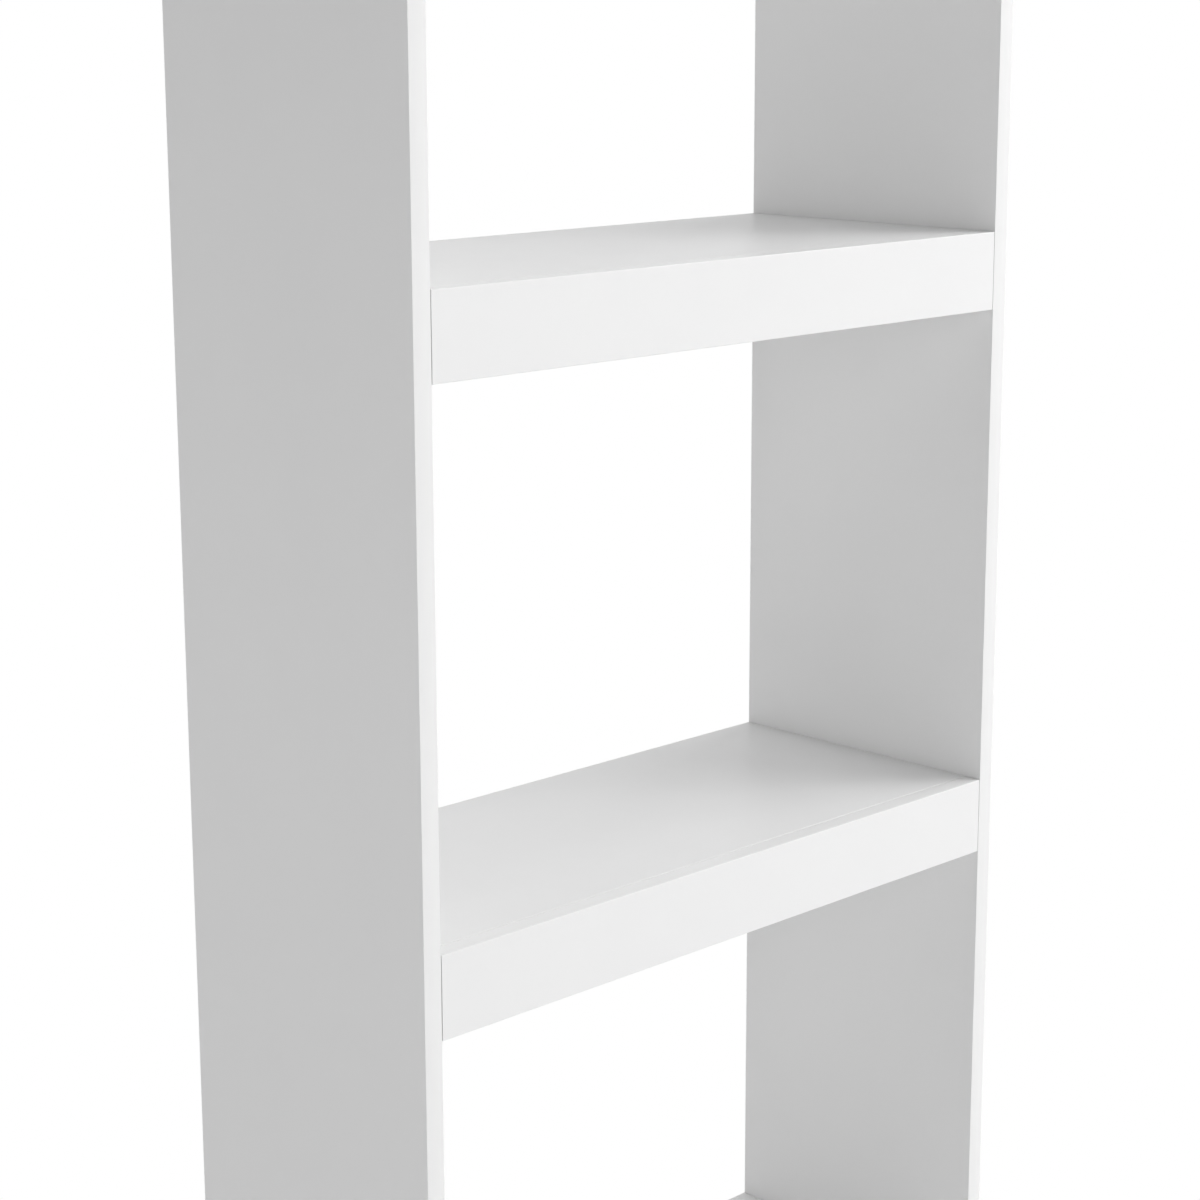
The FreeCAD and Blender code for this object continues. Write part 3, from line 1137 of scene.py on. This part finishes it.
def floorGlide(s):
    # a foot with a rounded rim, and a stem whose barbs hold it in the panel
    centre = s["radius"] - s["roundRadius"]
    arc = arcPoints(s["roundRadius"], -90, 0, s["roundSteps"])
    rim = [(s["roundRadius"] + y, centre + x) for x, y in arc]
    profile = [(0, s["middleRadius"])] + rim + [
        (s["height"] - s["rimStep"], s["radius"]),
        (s["height"], s["radius"] - s["rimStep"]),
        (s["height"], s["stemCore"]),
    ]
    pitch = (s["stemLength"] - s["tipLength"]) / s["barbs"]
    for i in range(s["barbs"]):
        foot = s["height"] + i * pitch
        profile += [(foot + s["barbRise"], s["stemRadius"]), (foot + pitch, s["stemCore"])]
    profile.append((s["height"] + s["stemLength"], s["stemCore"] - s["tipTaper"]))
    return turned("floor_glide", profile)


def addGlides():
    pattern = floorGlide(glideSizes)
    radius = glideSizes["radius"] * mm
    for side in sides:
        node = side + "_floor_glides"
        low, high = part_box(node)
        x = (low.x + high.x) / 2
        places = [((x, y, low.z), towards["+z"]) for y in (low.y + radius, high.y - radius)]
        addCopies(side + "_glide_pair", "glide_plastic", node, pattern, places, glidePlastic)


addGlides()
print("glides pressed in")


# Wall brackets and their screws

bracketSizes = {
    "leaf": 30.0,
    "width": 22.0,
    "thickness": 2.0,
    "innerBend": 1.5,
    "cornerRadius": 4.0,
    "cornerSteps": 6,
    "bendSteps": 8,
    "arris": 0.25,
    "holeFromCorner": 18.0,
    "wallHole": 2.75,          # radius
    "screwHole": 2.1,
    "holeSides": 48,
}


def quarterTurn(steps):
    return [math.pi / 2 * i / steps for i in range(steps + 1)]


def bracketStations(s):
    # from the wall leaf's foot to the front: place along Y, height, outward direction, half width
    half = s["thickness"] / 2
    bend = s["innerBend"] + half
    inset = half + bend
    ends = []
    for turn in quarterTurn(s["cornerSteps"]):
        reach = s["cornerRadius"] * (1 - math.cos(turn))
        ends.append((reach, s["width"] / 2 - s["cornerRadius"] * (1 - math.sin(turn))))
    stations = [(-half, -s["leaf"] + reach, (1, 0), width) for reach, width in ends]
    for turn in quarterTurn(s["bendSteps"]):
        outward = (math.cos(turn), math.sin(turn))
        stations.append((-inset + bend * outward[0], -inset + bend * outward[1], outward, s["width"] / 2))
    stations += [(-s["leaf"] + reach, -half, (0, 1), width) for reach, width in reversed(ends)]
    return stations


def bracketStrip(s):
    # a bent strip with rounded corners and eased arrises; the outer corner is at the origin
    half = s["thickness"] / 2
    ease = s["arris"]
    points = []
    for y, z, outward, width in bracketStations(s):
        section = [
            (width, half - ease), (width - ease, half), (-width + ease, half), (-width, half - ease),
            (-width, -half + ease), (-width + ease, -half), (width - ease, -half), (width, -half + ease),
        ]
        points += [(across, y + outward[0] * out, z + outward[1] * out) for across, out in section]
    ring = len(section)
    last = len(points) - ring
    faces = [tuple(range(ring)), tuple(reversed(range(last, last + ring)))]
    for row in range(0, last, ring):
        for i in range(ring):
            j = (i + 1) % ring
            faces.append((row + j, row + i, row + ring + i, row + ring + j))
    return meshObject("bracket_strip", points, faces)


screwSizes = {
    "sides": 36,
    "headRadius": 3.6,
    "headHeight": 2.0,
    "dome": ((0.25, -1.0), (0.6, -0.93), (0.82, -0.72), (0.95, -0.45), (1.0, -0.15), (0.98, 0)),
    "radius": 1.75,
    "rootRadius": 1.2,
    "length": 12.0,
    "threadStart": 0.2,
    "pitch": 1.4,
    "tipLength": 2.4,
    "tipRadius": 0.15,
    "driveLength": 3.4,
    "driveWidth": 0.7,
    "driveDepth": 1.3,
}


def panScrew(s):
    # the head's seat is at height 0 and the thread above it; the dome is in shares of the head's sizes
    profile = [(height * s["headHeight"], share * s["headRadius"]) for share, height in s["dome"]]
    profile.append((0, s["rootRadius"]))
    start, end = s["threadStart"], s["length"] - s["tipLength"] / 2
    profile += shankRows(start, end, s["radius"], s["pitch"])
    profile.append((s["length"], s["tipRadius"]))
    body = turned("pan_screw", profile, s["sides"], threadRipple(s["rootRadius"], s["pitch"], start, end))
    return withDrive(body, s, -s["headHeight"] - 1, -s["headHeight"] + s["driveDepth"])


def addBrackets():
    s = bracketSizes
    strip = bracketStrip(s)
    for side in sides:
        node = side + "_wall_bracket"
        low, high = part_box(node)
        corner = Vector(((low.x + high.x) / 2, high.y, high.z))
        body = bpy.data.objects.new("bracket_body", strip.data.copy())
        body.data.transform(Matrix.Translation(corner))
        down = s["holeFromCorner"] * mm
        through = 2 * s["thickness"] * mm
        wallMouth = corner - Vector((0, 0, down))
        screwMouth = corner - Vector((0, down, s["thickness"] * mm))
        holes = marks(node + "_holes", [
            holeRow(wallMouth, "-y", s["wallHole"] * mm, through),
            holeRow(screwMouth, "+z", s["screwHole"] * mm, through),
        ])
        piece = grow(side + "_bracket", drillGroup, holes, {
            "Body": body,
            "Hole Sides": s["holeSides"],
            "Material": zincPlating,
            "Hole Material": zincPlating,
        })
        bpy.data.objects.remove(body)
        keep(piece, "plated_steel", node)
    low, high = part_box("wall_bracket_screws")
    reach = high.x - screwSizes["headRadius"] * mm
    seat = low.z + screwSizes["headHeight"] * mm
    y = (low.y + high.y) / 2
    places = [((x, y, seat), towards["+z"]) for x in (-reach, reach)]
    pattern = panScrew(screwSizes)
    node = "wall_bracket_screws"
    addCopies("bracket_screw_pair", "plated_steel", node, pattern, places, zincPlating, math.pi, seed=2)


addBrackets()
print("brackets screwed on")


# Shelves

shelfSizes = {
    "arris": 0.25 * mm,
    "seam": 0.4 * mm,          # how far the board's front edge stays back from the rail
    "pocketRadius": 7.5 * mm,
    "pocketDepth": 12.5 * mm,
    "boreRadius": 3.5 * mm,
    "dowelRadius": 4.0 * mm,
    "dowelDepth": 20.5 * mm,
    "screwRadius": 1.8 * mm,
    "screwDepth": 10.5 * mm,
    "holeSides": 48,
}


def shelfBody(name, low, high, arris):
    # the board with its arrises taken off, apart from those under the rear edge band
    mesh = bpy.data.meshes.new(name)
    shape = bmesh.new()
    bmesh.ops.create_cube(shape, size=1)
    size = high - low
    bmesh.ops.scale(shape, vec=size, verts=shape.verts)
    bmesh.ops.translate(shape, vec=(low + high) / 2, verts=shape.verts)
    middle = (low.y + high.y) / 2
    bare = [edge for edge in shape.edges if any(vert.co.y < middle for vert in edge.verts)]
    bmesh.ops.bevel(shape, geom=bare, offset=arris, segments=1, affect="EDGES")
    shape.to_mesh(mesh)
    shape.free()
    return bpy.data.objects.new(name, mesh)


def shelfHoles(level, low, high):
    s = shelfSizes
    rows = []
    lockLow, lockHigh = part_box(level + "_cam_locks")
    lockY = (lockLow.y + lockHigh.y) / 2
    boltZ = centreOf(level + "_cam_bolts").z
    reach = lockHigh.x - lockSizes["radius"] * mm
    dowel = centreOf(level + "_shelf_end_dowels")
    for end, inward in ((high.x, "-x"), (low.x, "+x")):
        side = math.copysign(1, end)
        rows.append(holeRow((side * reach, lockY, low.z), "+z", s["pocketRadius"], s["pocketDepth"]))
        rows.append(holeRow((end, lockY, boltZ), inward, s["boreRadius"], high.x - reach))
        rows.append(holeRow((end, dowel.y, dowel.z), inward, s["dowelRadius"], s["dowelDepth"]))
    railLow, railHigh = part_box(level + "_front_rail_dowels")
    radius = dowelSizes["radius"] * mm
    for x in (railLow.x + radius, 0, railHigh.x - radius):
        rows.append(holeRow((x, low.y, dowel.z), "+y", s["dowelRadius"], s["dowelDepth"]))
    if level == levels[-1]:
        screwLow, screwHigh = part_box("wall_bracket_screws")
        screwReach = screwHigh.x - screwSizes["headRadius"] * mm
        for x in (-screwReach, screwReach):
            y = (screwLow.y + screwHigh.y) / 2
            rows.append(holeRow((x, y, low.z), "+z", s["screwRadius"], s["screwDepth"]))
    return rows


def addShelves():
    for level in levels:
        node = level + "_shelf"
        low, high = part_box(node)
        seam = Vector((0, shelfSizes["seam"], 0))
        body = shelfBody(node + "_blank", low + seam, high, shelfSizes["arris"])
        holes = marks(node + "_holes", shelfHoles(level, low, high))
        piece = grow(level + "_shelf_board", drillGroup, holes, {
            "Body": body,
            "Hole Sides": shelfSizes["holeSides"],
            "Material": whiteFacing,
            "Hole Material": chipCore,
        })
        bpy.data.objects.remove(body)
        keep(piece, "white_faced_board", node)


addShelves()
print("shelves drilled")


# Side panels and front rails, as the frame has them

for name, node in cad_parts.items():
    for slot in node.material_slots:
        slot.material = panelFacing if name.endswith("_side_panel") else whiteFacing
